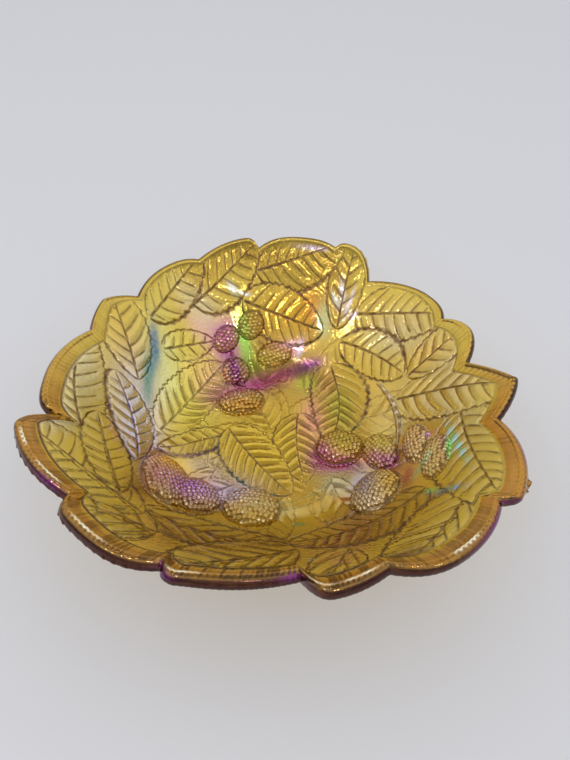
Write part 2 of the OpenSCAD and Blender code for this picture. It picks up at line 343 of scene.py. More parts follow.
# Patches of the iridescent film: centre, radius along X and Y, turn in degrees, colour, strength.
FILM = [
    ((0, -4), 48, 30, 0, (0.88, 0.60, 0.02), 0.65),
    ((92, 8), 26, 36, 0, (0.76, 0.64, 0.46), 0.5),
    ((108, -18), 16, 24, 0, (0.88, 0.76, 0.44), 0.6),
    ((4, 92), 46, 14, 0, (0.46, 0.30, 0.04), 0.7),
    ((36, 96), 18, 24, 0, (0.36, 0.22, 0.05), 0.85),
    ((-28, 86), 12, 9, 0, (0.40, 0.28, 0.04), 0.75),
    ((-8, 76), 12, 10, 0, (0.32, 0.14, 0.03), 0.8),
    ((25, 84), 13, 10, 0, (0.44, 0.24, 0.04), 0.75),
    ((-60, 40), 28, 36, 0, (0.88, 0.80, 0.10), 0.8),
    ((-48, 44), 15, 18, 20, (0.88, 0.42, 0.30), 0.65),
    ((-54, 76), 14, 8, -20, (0.86, 0.44, 0.52), 0.75),
    ((-58, 88), 16, 8, -20, (0.72, 0.70, 0.46), 0.85),
    ((-80, 44), 10, 28, 4, (0.76, 0.80, 0.38), 0.8),
    ((-94, 14), 13, 32, 6, (0.86, 0.80, 0.86), 0.95),
    ((-85, 55), 3, 12, 5, (0.01, 0.15, 0.34), 1.0),
    ((-87, 40), 3, 9, -5, (0.02, 0.26, 0.36), 0.9),
    ((-88, 28), 3, 14, 5, (0.05, 0.30, 0.26), 0.8),
    ((-86, -14), 11, 17, 8, (0.84, 0.80, 0.98), 0.95),
    ((-76, -24), 8, 9, 30, (0.46, 0.16, 0.50), 0.8),
    ((-66, -28), 10, 10, 0, (0.96, 0.60, 0.03), 0.95),
    ((-46, -22), 15, 9, -20, (0.72, 0.56, 0.42), 0.85),
    ((-80, -54), 9, 12, 10, (0.24, 0.07, 0.04), 0.8),
    ((-72, -40), 12, 9, -30, (0.42, 0.12, 0.20), 0.8),
    ((-50, -44), 16, 11, 0, (0.46, 0.14, 0.60), 1.0),
    ((-28, -42), 18, 11, 0, (0.60, 0.48, 0.64), 0.95),
    ((-2, -54), 18, 6, 0, (0.52, 0.50, 0.30), 0.6),
    ((-37, 72), 11, 12, 0, (0.46, 0.06, 0.40), 1.0),
    ((-24, 72), 5, 17, 12, (0.30, 0.66, 0.10), 1.0),
    ((-16, 60), 8, 7, 0, (0.30, 0.38, 0.03), 0.8),
    ((-31, 53), 8, 13, 25, (0.26, 0.02, 0.30), 1.0),
    ((-14, 46), 15, 8, 24, (0.42, 0.02, 0.24), 1.0),
    ((6, 55), 17, 8, 26, (0.52, 0.04, 0.22), 1.0),
    ((23, 60), 11, 5, 12, (0.28, 0.02, 0.34), 1.0),
    ((4, 65), 16, 3, 14, (0.42, 0.40, 0.04), 0.8),
    ((8, 72), 12, 5, 6, (0.72, 0.26, 0.36), 0.8),
    ((-34, 36), 15, 8, 10, (0.46, 0.10, 0.26), 0.9),
    ((-22, 24), 14, 5, 5, (0.58, 0.22, 0.05), 0.8),
    ((22, 47), 10, 8, 0, (0.40, 0.52, 0.05), 0.9),
    ((36, 46), 7, 11, 0, (0.80, 0.30, 0.18), 0.7),
    ((24, 14), 9, 20, 0, (0.80, 0.30, 0.28), 0.85),
    ((44, 26), 8, 17, 0, (0.46, 0.52, 0.06), 0.75),
    ((28, -16), 9, 10, 0, (0.40, 0.03, 0.28), 1.0),
    ((42, -22), 16, 5, 6, (0.46, 0.03, 0.26), 1.0),
    ((42, -5), 9, 7, 0, (0.40, 0.34, 0.05), 0.7),
    ((57, -17), 6, 4, -30, (0.86, 0.40, 0.04), 0.8),
    ((68, -24), 14, 5, -48, (0.40, 0.04, 0.28), 1.0),
    ((76, -24), 5, 9, -20, (0.26, 0.02, 0.28), 1.0),
    ((68, -8), 9, 9, 0, (0.52, 0.46, 0.06), 0.7),
    ((82, -38), 9, 15, 0, (0.82, 0.62, 0.50), 0.6),
    ((53, -40), 10, 17, -12, (0.32, 0.29, 0.46), 1.0),
    ((36, -36), 10, 9, 0, (0.56, 0.55, 0.40), 0.8),
    ((40, -48), 6, 3, 0, (0.70, 0.28, 0.04), 0.7),
    ((68, -46), 7, 13, -20, (0.78, 0.46, 0.05), 0.8),
    ((79, -42), 3, 9, -20, (0.46, 0.10, 0.12), 0.9),
    ((88, -12), 9, 10, 0, (0.66, 0.34, 0.22), 0.6),
    ((100, -30), 4, 13, -10, (0.40, 0.08, 0.20), 0.8),
    ((12, 90), 24, 10, -6, (0.62, 0.32, 0.03), 0.8),
    ((26, 90), 5, 8, 20, (0.76, 0.28, 0.06), 0.8),
    ((33, 84), 5, 8, 10, (0.56, 0.66, 0.36), 0.8),
    # Dark brown film at the back: partly painted shade.
    ((-4, 116), 50, 12, -8, (0.30, 0.16, 0.02), 0.92),
    ((-52, 104), 22, 12, 35, (0.40, 0.22, 0.03), 0.8),
    ((-104, 50), 11, 18, 10, (0.70, 0.42, 0.04), 0.6),
    ((74, 60), 18, 8, -26, (0.60, 0.62, 0.22), 0.5),
    ((100, 40), 12, 8, 10, (0.80, 0.44, 0.04), 0.6),
    ((112, 8), 20, 6, -16, (0.74, 0.48, 0.22), 0.5),
    # Pale film at the left edge: partly painted reflection.
    ((-128, -24), 10, 14, 20, (0.70, 0.62, 0.48), 0.85),
    ((-122, 14), 12, 34, 4, (0.74, 0.68, 0.48), 0.8),
    ((84, 62), 26, 12, -32, (0.68, 0.54, 0.48), 0.55),
    ((118, 24), 14, 12, 0, (0.66, 0.52, 0.50), 0.5),
    # Film on the front wall, where the dark brown patches are partly painted shade.
    ((-20, -86), 80, 18, 0, (0.34, 0.14, 0.03), 0.75),
    ((60, -74), 40, 14, 20, (0.38, 0.17, 0.04), 0.7),
    ((46, -62), 20, 8, 12, (0.88, 0.74, 0.60), 0.55),
    ((30, -104), 14, 6, 0, (0.80, 0.62, 0.50), 0.5),
    ((58, -110), 18, 6, 25, (0.18, 0.06, 0.02), 0.85),
    # Painted glints: small bright patches of near-white and vivid film.
    ((105.5, -33), 2.0, 17, 3, (0.45, 1.0, 1.0), 1.0),
    ((101, -33), 1.8, 8, -12, (0.35, 1.0, 0.25), 1.0),
    ((95, -15), 3, 2, 20, (0.95, 0.55, 1.0), 1.0),
    ((86, -39), 1.6, 8, -38, (0.45, 0.9, 0.7), 0.9),
    ((92, -65), 8, 2.4, -12, (0.3, 0.6, 1.0), 1.0),
    ((86, -61), 3, 1.6, 0, (0.4, 1.0, 0.5), 1.0),
    ((13, -65), 3.6, 1.8, 0, (0.4, 1.0, 0.75), 1.0),
    ((12, -77), 4, 1.2, 0, (0.85, 1.0, 0.95), 0.9),
    ((46.5, 94), 1.8, 6, 8, (1.0, 0.92, 0.96), 1.0),
    ((51, 88), 1.5, 7, -30, (1.0, 0.90, 0.98), 1.0),
    ((42, 91), 1.5, 5, 30, (0.95, 1.0, 0.90), 0.9),
    ((54, 82), 3, 2, 0, (0.98, 0.80, 1.0), 1.0),
    ((16, 72), 2.2, 4.5, -20, (1.0, 0.80, 1.0), 1.0),
    ((9, 74), 6, 2, 10, (0.95, 0.62, 0.80), 0.8),
    ((25, 121), 11, 1.6, -10, (1.0, 0.80, 1.0), 1.0),
    ((-33, 99.5), 4, 2.2, -30, (0.96, 1.0, 0.95), 1.0),
    ((-24, 98), 3.5, 1, 0, (1.0, 1.0, 1.0), 0.9),
    ((-101, -17), 1.5, 5, 35, (1.0, 0.66, 1.0), 0.9),
    ((18.6, -103), 3, 1.6, 0, (0.75, 1.0, 0.98), 0.9),
    ((34, -108), 5, 1.6, -15, (1.0, 0.86, 1.0), 0.9),
]
GOLD = np.array((0.72, 0.56, 0.10))

# Film over the engraved lines, darker as painted shade and partly the film's own colours: centre, radius
# along X and Y, turn, colour, strength.
LINE_FILM = [
    ((-92, 0), 10, 26, 8, (0.02, 0.03, 0.30), 1.0),
    ((-88, 42), 7, 26, 5, (0.02, 0.16, 0.26), 1.0),
    ((-66, 30), 16, 30, 0, (0.20, 0.26, 0.06), 0.8),
    ((-58, -11), 14, 5, 4, (0.10, 0.01, 0.16), 1.0),
    ((-40, -4), 8, 5, 20, (0.06, 0.08, 0.14), 1.0),
    ((-16, -34), 24, 9, -38, (0.03, 0.12, 0.08), 1.0),
    ((-44, 60), 12, 16, 0, (0.26, 0.02, 0.20), 1.0),
    ((18, 12), 4, 22, 0, (0.30, 0.04, 0.10), 1.0),
    ((52, 24), 5, 24, 0, (0.02, 0.10, 0.05), 1.0),
    ((10, 40), 16, 12, 0, (0.24, 0.03, 0.10), 0.8),
    ((30, 84), 8, 10, 0, (0.04, 0.16, 0.08), 0.8),
]

# Places where the film sparkles with painted glints: centre, radius along X and Y, turn, colour of the
# ground, strength. The dark brown grounds at the back are partly painted shade.
SPARKLE = [
    ((2, 118), 30, 9, 4, (0.45, 0.20, 0.02), 1.0),
    ((-34, 112), 20, 10, 40, (0.50, 0.24, 0.03), 0.8),
    ((-68, 96), 12, 16, -40, (0.50, 0.22, 0.02), 0.6),
    ((66, 84), 14, 7, -10, (0.70, 0.36, 0.02), 1.0),
    ((98, 46), 10, 7, 20, (0.74, 0.36, 0.02), 1.0),
    ((116, 14), 16, 6, -20, (0.74, 0.42, 0.04), 0.8),
    ((0, -6), 40, 24, 0, (0.74, 0.56, 0.06), 0.5),
    ((34, 122), 14, 6, 0, (0.60, 0.30, 0.02), 0.6),
    ((96, 0), 30, 40, 0, (0.72, 0.50, 0.12), 0.25),
    ((-14, 26), 8, 5, 0, (0.80, 0.50, 0.02), 1.0),
]


def blend(x, y, patches, ground):
    """Colour of soft patches laid over a ground colour at plan points, and how much they cover."""
    colour = np.ones(x.shape + (3,)) * ground
    cover = np.zeros(x.shape)
    mottle = 0.88 + 0.12 * ripple(x, y, 2.5, (0.9, 0.45), (0.8, 0.5))
    for (cx, cy), rx, ry, turn, tint, strength in patches:
        c, s = math.cos(math.radians(turn)), math.sin(math.radians(turn))
        u = ((x - cx) * c + (y - cy) * s) / rx
        v = (-(x - cx) * s + (y - cy) * c) / ry
        share = strength * np.exp(-0.75 * (u * u + v * v) ** 1.25) * mottle
        colour = mix(colour, np.array(tint), share)
        cover = cover * (1 - share) + share
    return colour, cover


# ---------------------------------------------------------------- mesh helpers


def grid_normals(points, wrap):
    """Vertex normals of a grid of points; rows run along axis 1, and axis 0 closes on itself if wrap."""
    if wrap:
        du = np.roll(points, -1, axis=0) - np.roll(points, 1, axis=0)
    else:
        du = np.gradient(points, axis=0)
    dv = np.gradient(points, axis=1)
    n = np.cross(dv, du)
    length = np.linalg.norm(n, axis=-1, keepdims=True)
    return n / np.maximum(length, 1e-9)


def grid_faces(columns, rows, wrap):
    """Four-cornered faces of a grid of points that is stored column after column."""
    first = np.arange(columns if wrap else columns - 1)
    second = (first + 1) % columns
    k = np.arange(rows - 1)
    a = (first[:, None] * rows + k[None, :]).ravel()
    b = (second[:, None] * rows + k[None, :]).ravel()
    return np.stack([a, a + 1, b + 1, b], axis=1)


def looks(strength, roughness):
    """How strong the film is at each point, and how rough the glass under it."""
    return np.stack([strength, roughness + 0 * strength, 0 * strength], axis=-1)


def make_piece(name, sheet, faces, material, nodes):
    """A smooth mesh of some faces of a sheet, riding on the bowl and standing in for CAD nodes.
    A sheet holds points in mm, normals or None, and the tint, film and look of each point;
    faces is a list of arrays, each with one row per face."""
    corners = np.concatenate([part.ravel() for part in faces])
    sizes = np.concatenate([np.full(len(part), part.shape[1]) for part in faces])
    used, corners = np.unique(corners, return_inverse=True)
    mesh = bpy.data.meshes.new(name)
    mesh.vertices.add(len(used))
    mesh.vertices.foreach_set("co", (sheet["points"][used] * MM).ravel())
    mesh.loops.add(len(corners))
    mesh.loops.foreach_set("vertex_index", corners)
    mesh.polygons.add(len(sizes))
    mesh.polygons.foreach_set("loop_start", np.cumsum(sizes) - sizes)
    mesh.update(calc_edges=True)
    mesh.shade_smooth()
    for key in ("tint", "film", "look"):
        layer = mesh.color_attributes.new(key, "FLOAT_COLOR", "POINT")
        flat = np.ones((len(used), 4), np.float32)
        flat[:, :3] = sheet[key][used]
        layer.data.foreach_set("color", flat.ravel())
    if sheet["normals"] is not None:
        mesh.normals_split_custom_set_from_vertices(sheet["normals"][used].tolist())
    mesh.materials.append(material)
    obj = bpy.data.objects.new(name, mesh)
    bpy.context.scene.collection.objects.link(obj)
    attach(obj, "root")
    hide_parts(*nodes)


def join_sheets(parts):
    """One sheet from grids that stand side by side along axis 1."""
    joined = {}
    for key in ("points", "tint", "film", "look"):
        joined[key] = np.concatenate([part[key] for part in parts], axis=1)
    return joined


# ---------------------------------------------------------------- materials

# Strength of the film on the outer face, and roughness of the glass on the inner face, the outer face,
# the rounded edge, and the berries and stems.
OUTER_FILM = 0.06
INNER_ROUGHNESS = 0.04
OUTER_ROUGHNESS = 0.12
EDGE_ROUGHNESS = 0.03
BERRY_ROUGHNESS = 0.05
# What the table's light keeps of its colour on its way through the glass.
SHADOW_COLOUR = (0.94, 0.86, 0.62, 1)


def node(tree, kind, x, y, **values):
    """A node at a place in a node tree; its keyword values go to the inputs of that name."""
    made = tree.nodes.new(kind)
    made.location = (x, y)
    for key, value in values.items():
        made.inputs[key.replace("_", " ")].default_value = value
    return made


def lustre_glass(name, film_roughness, grain):
    """Amber glass under an iridescent film: 'tint' colours what shines through, 'film' colours the mirror
    layer, and 'look' holds the film's strength (red) and the roughness of the glass (green)."""
    material = bpy.data.materials.new(name)
    material.use_nodes = True
    tree = material.node_tree
    tree.nodes.clear()
    link = tree.links.new
    painted = {}
    for key, y in (("tint", 300), ("film", 0), ("look", -300)):
        painted[key] = node(tree, "ShaderNodeAttribute", -900, y)
        painted[key].attribute_name = key
    parts = node(tree, "ShaderNodeSeparateColor", -700, -300)
    link(painted["look"].outputs["Color"], parts.inputs["Color"])

    # A fine unevenness of the pressed surface.
    noise = node(tree, "ShaderNodeTexNoise", -900, -600, Scale=grain, Detail=3.0)
    place = node(tree, "ShaderNodeTexCoord", -1100, -600)
    link(place.outputs["Object"], noise.inputs["Vector"])
    bump = node(tree, "ShaderNodeBump", -600, -600, Strength=0.25, Distance=0.0002)
    link(noise.outputs["Fac"], bump.inputs["Height"])

    glass = node(tree, "ShaderNodeBsdfPrincipled", -300, 300, IOR=1.5, Transmission_Weight=1.0)
    link(parts.outputs["Green"], glass.inputs["Roughness"])
    link(painted["tint"].outputs["Color"], glass.inputs["Base Color"])
    link(bump.outputs["Normal"], glass.inputs["Normal"])
    mirror = node(tree, "ShaderNodeBsdfPrincipled", -300, -200, Roughness=film_roughness, Metallic=1.0)
    link(painted["film"].outputs["Color"], mirror.inputs["Base Color"])
    link(bump.outputs["Normal"], mirror.inputs["Normal"])
    coated = node(tree, "ShaderNodeMixShader", 0, 100)
    link(parts.outputs["Red"], coated.inputs["Fac"])
    link(glass.outputs["BSDF"], coated.inputs[1])
    link(mirror.outputs["BSDF"], coated.inputs[2])

    # Light reaches the table through the glass and picks up its amber colour.
    clear = node(tree, "ShaderNodeBsdfTransparent", 0, -200, Color=SHADOW_COLOUR)
    path = node(tree, "ShaderNodeLightPath", 0, 400)
    shadow = node(tree, "ShaderNodeMixShader", 250, 100)
    link(path.outputs["Is Shadow Ray"], shadow.inputs["Fac"])
    link(coated.outputs["Shader"], shadow.inputs[1])
    link(clear.outputs["BSDF"], shadow.inputs[2])
    out = node(tree, "ShaderNodeOutputMaterial", 450, 100)
    link(shadow.outputs["Shader"], out.inputs["Surface"])
    return material


body_glass = lustre_glass("amber_glass", film_roughness=0.10, grain=900.0)
berry_glass = lustre_glass("berry_glass", film_roughness=0.18, grain=1400.0)

# ---------------------------------------------------------------- berries' places

# The inner face is left out inside a berry: up to this share of its plan area, and so deep below its base.
CORE_SHARE = 0.7
CORE_DEPTH = 2.5


def on_glass(x, y):
    """Place on the inner face at a plan point, and the normal there."""
    a, r = math.atan2(y, x), math.hypot(x, y)
    slope = float(tilt(a, r))
    normal = np.array([-math.sin(slope) * math.cos(a), -math.sin(slope) * math.sin(a), math.cos(slope)])
    return np.array([x, y, float(inside_z(a, r))]), normal


def level_with(direction, normal):
    """A direction turned into the plane square to a normal."""
    flat = direction - normal * direction.dot(normal)
    return flat / np.linalg.norm(flat)


def berry_frame(place, heading):
    """Where a berry sits, and its directions along, across and out of the glass."""
    origin, normal = on_glass(*place)
    turn = math.radians(heading)
    lead = level_with(np.array([math.cos(turn), math.sin(turn), 0.0]), normal)
    return origin, lead, np.cross(normal, lead), normal


def under_berries(points):
    """Which points of the inner face lie inside a berry, where the glass is one with it."""
    covered = np.zeros(len(points), bool)
    for place, length, width, heading in BERRIES:
        origin, lead, side, normal = berry_frame(place, heading)
        away = points - origin
        u, v, n = away @ lead / (length / 2), away @ side / (width / 2), away @ normal
        covered |= (u * u + v * v < CORE_SHARE) & (n > -CORE_DEPTH)
    return covered


# ---------------------------------------------------------------- glass sheets

# Colours that shine through: plain glass; the front of the edge, deeper as partly painted shade; the edge's
# dark line of painted shade and its dark bands, partly painted shade; and the painted shade in the engraved
# lines.
AMBER = np.array((0.93, 0.67, 0.09))
HONEY = np.array((0.74, 0.31, 0.02))
DARK = np.array((0.025, 0.005, 0.005))
GROOVE_SHADE = np.array((0.03, 0.007, 0.010))
# Colours of the film: painted shade over the engraved lines, colours along the edge with umber painted shade
# and a painted glint, and painted glints in sparks.
LINE_SHADE_FILM = np.array((0.13, 0.03, 0.035))
VIOLET = np.array((0.28, 0.05, 0.27))
PAINTED_GLINT = np.array((1.0, 0.88, 0.60))
COPPER = np.array((0.86, 0.50, 0.08))
UMBER = np.array((0.09, 0.025, 0.02))
SPARK = np.array((1.0, 0.74, 0.12))
# Strength of the film in a painted spark glint and in a painted glint on the edge.
SPARK_FILM = 0.85
PAINTED_GLINT_FILM = 0.95
# Sparks are painted glints on single points, picked at random where a fine ripple is above this height.
SPARK_RIPPLE = 0.45

# Angles at which the rounded edge is violet, and at which it has a painted glint, with the spread of each
# stretch.
VIOLET_RIM = [(211, 3.5), (246, 2.5), (274, 3), (318, 7), (337, 7), (160, 3)]
PAINTED_GLINT_RIM = [(199, 2), (209, 3), (227, 4), (250, 3), (279, 2.5), (289, 3.5), (310, 3)]
# Toothed outer lip: angle, spread in degrees and how far it stands out in mm.
LIPS = [(64, 8, 2.2), (86, 9, 0.9), (203, 10, 1.5), (220, 6, 1.2), (236, 8, 1.4), (330.5, 2.2, 3.6)]
# Length of the lip's teeth, and distance between the edge's cross ribs.
LIP_TOOTH = 6.0
RIB_PITCH = 3.1
# Degrees through which the edge's round turns, and where it starts, below level on the inner side.
EDGE_SWEEP = 250
EDGE_SWEEP_START = -35
# Angle of the one lip that is clear glass, and its spread.
CLEAR_LIP = (330.5, 3)
# Angle in the middle of the front stretch of the edge, which has brown bands that are partly painted shade,
# and its spread.
BROWN_FRONT = (264, 72)

# Fineness of the meshes.
COLUMNS_PER_DEGREE = 6
WALL_ROWS = 170
EDGE_ROWS = 30
LOWER_ROWS = 76
FLOOR_ROWS = 76
# Share of the lower glass that belongs to the floor, and the share where its middle cap ends.
FLOOR_PART = 0.5
FLOOR_CAP = 0.01

chance = np.random.default_rng(11)


def rim_columns(per_degree):
    """Angles round the bowl, the rim's reach and the share of a leaf there, and each leaf's first column."""
    angles, reaches, shares, starts = [], [], [], []
    for i, (start, notch, tip, reach, before, after) in enumerate(RIM):
        next_start, next_notch = RIM[(i + 1) % len(RIM)][:2]
        span = (next_start - start) % 360
        count = round(span * per_degree)
        starts.append(len(angles))
        w = (tip - start) / span
        for k in range(count):
            u = k / count
            if u < w:
                low, away, full = notch, 1 - u / w, before
            else:
                low, away, full = next_notch, (u - w) / (1 - w), after
            angles.append(math.radians(start + u * span))
            reaches.append(low + (reach - low) * (1 - away**full))
            shares.append(u)
    starts.append(len(angles))
    return np.array(angles)[:, None], np.array(reaches)[:, None], np.array(shares)[:, None], starts


def near_angle(a, angle, spread):
    """1 at an angle in degrees, fading out over the spread."""
    gap = (np.degrees(a) - angle + 180) % 360 - 180
    return np.exp(-((gap / spread) ** 2))


def stretches(a, places):
    """1 near any of some angles in degrees, each given with its spread."""
    return np.clip(sum(near_angle(a, angle, spread) for angle, spread in places), 0, 1)


def ribs(a):
    """Small cross ribs of the rounded edge, from 0 to 1."""
    turn = 2 * math.pi * HALF_LENGTH * a / RIB_PITCH
    return 0.5 + 0.5 * np.cos(turn + 1.7 * np.sin(9 * a) + 1.1 * np.sin(23 * a))


def front_share(a):
    """1 at the front of the bowl, 0 at the back."""
    return smooth((0.35 - np.sin(a)) / 0.6)


def back_share(a):
    """0 along the front and the sides of the bowl, 1 at the back."""
    return smooth((np.sin(a) - 0.3) / 0.35)


def edge_height(a):
    """How high the rounded edge stands: it is thick at the front and thin at the back."""
    return EDGE_HEIGHT - BACK_LESS_HEIGHT * back_share(a)


def edge_stand(a):
    """How far the rounded edge stands out from the faces of the glass."""
    return EDGE_STAND - BACK_LESS_STAND * back_share(a)


def face_looks(points, line, side):
    """Tint, film and look of points on the inner (side 1) or outer (side -1) face."""
    x, y = points[..., 0], points[..., 1]
    film, cover = blend(x, y, FILM, GOLD)
    line_film, line_cover = blend(x, y, LINE_FILM, LINE_SHADE_FILM)
    ground, glitter = blend(x, y, SPARKLE, AMBER)
    # Sparks are painted glints, and the sparkle grounds darken the tint, partly as painted shade.
    specks = ripple(x, y, 3, (5.3, 1.7), (4.9, 2.1))
    spark = (chance.random(x.shape) < 0.7 * glitter) * (specks > SPARK_RIPPLE) * (1 - line)
    if side > 0:
        groove_shade = line
        shade = 0.8 * glitter
        strength = 0.12 + 0.80 * cover
        line_strength = 0.3 * line_cover + 0.6
        roughness = INNER_ROUGHNESS
    else:
        groove_shade = 0.35 * line
        shade = 0 * glitter
        strength = OUTER_FILM
        line_strength = 0
        spark = 0.3 * spark
        roughness = OUTER_ROUGHNESS
    # Painted shade darkens the tint and the film over the engraved lines.
    strength = strength * (1 - groove_shade) + line_strength * groove_shade
    strength = strength * (1 - spark) + SPARK_FILM * spark
    film = mix(mix(film, line_film, groove_shade), SPARK, spark)
    tint = mix(mix(AMBER, ground, shade), GROOVE_SHADE, groove_shade)
    return {"points": points, "tint": tint, "film": film, "look": looks(strength, roughness)}


def bead_looks(a, t, side=1):
    """Tint, film and look of the rounded edge; t runs from its inner side (0) to its outer side (1)."""
    front = near_angle(a, *BROWN_FRONT)
    clear = near_angle(a, *CLEAR_LIP)
    rib = ribs(a)
    arc = HALF_LENGTH * a
    broad = 0.5 + 0.5 * np.cos(arc / 2.3 + 3 * np.sin(5 * a)) * np.cos(arc / 5.0 + 2 * np.sin(7 * a))
    bands = smooth((broad + 0.4 * rib - 0.5) / 0.3)
    sides = smooth((np.abs(np.cos(a)) - 0.6) / 0.3)

    # A dark line of painted shade runs all the way round, and brown bands, partly painted shade, cross the
    # edge at the front and the sides.
    first = 0.42 - 0.2 * back_share(a)
    dark = band(t, first, first + 0.38, 0.08) * (1 - clear)
    brown = front * (0.45 + 0.5 * bands) + 0.5 * sides * (1 - rib) ** 3 * broad
    brown = np.maximum(brown, 0.7 * front * band(t, 0.02, 0.1, 0.05, 0.08) * broad)
    brown = np.maximum(brown * (1 - smooth((t - 0.8) / 0.1)), 0.9 * dark)
    brown = np.clip(brown, 0, 1) * (1 - clear)
    if side < 0:
        brown = 0.4 * brown
    # The front of the edge is a deeper honey, partly as painted shade.
    tint = mix(mix(AMBER, HONEY, 0.9 * front_share(a)), DARK, brown)

    # The film is copper on the crest, umber as painted shade on the dark line and bands, and violet or a
    # painted glint in some stretches.
    violet = stretches(a, VIOLET_RIM) * (1 - clear) * band(t, 0.34, 0.58, 0.1) * (0.4 + 0.6 * rib)
    painted_glint = smooth(2 * stretches(a, PAINTED_GLINT_RIM)) * band(t, 0.20, 0.32, 0.04) * (0.6 + 0.4 * broad)
    crest = band(t, 0.14, 0.36, 0.1) * (1 - back_share(a)) * (0.4 + 0.6 * broad)
    stripe = 0.8 * front * bands * (1 - dark)
    film = mix(COPPER, UMBER, np.maximum(dark * (1 - crest), stripe))
    film = mix(mix(film, VIOLET, violet), PAINTED_GLINT, painted_glint)
    if side < 0:
        return {"tint": tint, "film": film, "look": looks(OUTER_FILM + 0 * painted_glint, EDGE_ROUGHNESS)}
    dark_film = 0.55 * dark * (1 - 0.2 * back_share(a))
    strength = 0.05 + 0.18 * crest + 0.6 * stripe + dark_film + 0.25 * violet
    strength = strength + (PAINTED_GLINT_FILM - strength) * painted_glint
    strength = strength * (1 - smooth((t - 0.84) / 0.1))
    return {"tint": tint, "film": film, "look": looks(strength, EDGE_ROUGHNESS)}


def two_faces(a, r, v, u):
    """The inner face outwards and the outer face back inwards, each as a sheet of rows. v runs from 0 at
    the start of the rim leaves to 1 at the rounded edge, and u from 0 to 1 across a rim leaf."""
    height, line = pattern(r * np.cos(a), r * np.sin(a))
    slope = tilt(a, r)
    swell = 0.5 * SWELL * np.sin(math.pi * u) * np.sin(math.pi / 2 * np.minimum(1, 1.6 * v))

    # The pattern ends where the faces start to roll into the rounded edge, along a crease of painted shade.
    begin = ROLL_START + BACK_ROLL_LATER * back_share(a)
    fade = 1 - smooth((v - begin + 0.03) / 0.04)
    line = line * fade
    roll = np.sin(math.pi / 2 * np.clip((v - begin) / (1 - begin), 0, 1))
    roll = roll * (0.82 * edge_stand(a) - 0.36 + 0.1 * ribs(a))
    on_right = smooth((np.cos(a) - 0.3) / 0.4) * front_share(a)
    crease = mark(v - begin, 0.012) * (0.5 + 0.45 * front_share(a)) * (1 - 0.75 * on_right)

    faces = []
    for side in (1, -1):
        if side > 0:
            lift = INNER_RELIEF * height * fade - INNER_LINE_DEPTH * line + roll
        else:
            below = RELIEF_ROOM - GLASS_T - swell
            lift = below - OUTER_RELIEF * height * fade + OUTER_LINE_DEPTH * line - roll
        out = r - lift * np.sin(slope)
        up = inside_z(a, r) + lift * np.cos(slope)
        if side < 0:
            foot = band(r, FOOT_IN - 0.4, FOOT_OUT + 0.4 - FOOT_SIDE, FOOT_SIDE)
            up = up * (1 - foot) + FOOT_CLEARANCE * foot
        sheet = face_looks(across((out, up), a), np.maximum(line, crease) if side > 0 else line, side)
        share = smooth((v - begin - 0.008) / 0.02)
        edge = bead_looks(a, ROLL_COLOURS * (v - EDGE_COLOUR_START) / (1 - EDGE_COLOUR_START), side)
        for key in ("tint", "film", "look"):
            sheet[key] = mix(sheet[key], edge[key], share)
        faces.append({key: values[:, ::side] for key, values in sheet.items()})
    return faces


def bead(a, u, radius):
    """The rounded edge, swept from the inner face over the top to the outer face, as a sheet."""
    t = np.linspace(0, 1, EDGE_ROWS + 2)[None, 1:-1] + 0 * a
    a = a + 0 * t
    r = radius + 0 * t
    turn = np.radians(EDGE_SWEEP * t + EDGE_SWEEP_START)
    slope = tilt(a, r)
    thick = GLASS_T - RELIEF_ROOM + 0.5 * SWELL * np.sin(math.pi * u)
    lateral = (thick / 2 + edge_stand(a) + 0.2 * (ribs(a) - 0.5)) * np.cos(turn)
    saw = 0.25 + 0.75 * np.mod(HALF_LENGTH * a / LIP_TOOTH, 1) ** 2
    lip = 0.2 + sum(reach * near_angle(a, angle, spread) for angle, spread, reach in LIPS)
    lip = lip * (0.35 + 0.65 * saw) * band(t, 0.55, 0.86, 0.2, 0.14)
    onward = edge_height(a) / 2 * (np.sin(turn) + 1) + lip
    out = r + (thick / 2 - lateral) * np.sin(slope) + onward * np.cos(slope)
    up = inside_z(a, r) - (thick / 2 - lateral) * np.cos(slope) + onward * np.sin(slope)
    sheet = bead_looks(a, ROLL_COLOURS + (1 - ROLL_COLOURS) * t)
    sheet["points"] = across((out, up), a)
    return sheet


def flatten(sheet, normals):
    """A grid sheet as plain lists of points, with its normals."""
    flat = {key: values.reshape(-1, 3) for key, values in sheet.items()}
    flat["normals"] = normals.reshape(-1, 3)
    return flat


def open_faces(sheet, faces):
    """Faces of a flat sheet without those inside the berries."""
    covered = under_berries(sheet["points"])
    return faces[~covered[faces].all(axis=1)]


def glass_piece(name, sheet, faces, nodes):
    """A piece of the bowl's own glass."""
    make_piece(name, sheet, faces, body_glass, nodes)


def build_wall():
    """The rim leaves, each with its stretch of the rounded edge."""
    a, reach, u, starts = rim_columns(COLUMNS_PER_DEGREE)
    radius = reach * oval(a) - edge_height(a)
    low = LEAF_START * oval(a)
    v = np.linspace(0, 1, WALL_ROWS)[None, :] + 0 * a
    inner, outer = two_faces(a + 0 * v, low + (radius - low) * v, v, u + 0 * v)
    sheet = join_sheets([inner, bead(a, u, radius), outer])
    rows = sheet["points"].shape[1]
    sheet = flatten(sheet, grid_normals(sheet["points"], True))
    faces = grid_faces(len(a), rows, True)
    leaf_of_face = np.searchsorted(starts, faces[:, 0] // rows, side="right") - 1
    for i in range(len(RIM)):
        own = open_faces(sheet, faces[leaf_of_face == i])
        glass_piece("rim_leaf_%02d_glass" % (i + 1), sheet, [own], ["rim_leaf_%02d" % (i + 1)])


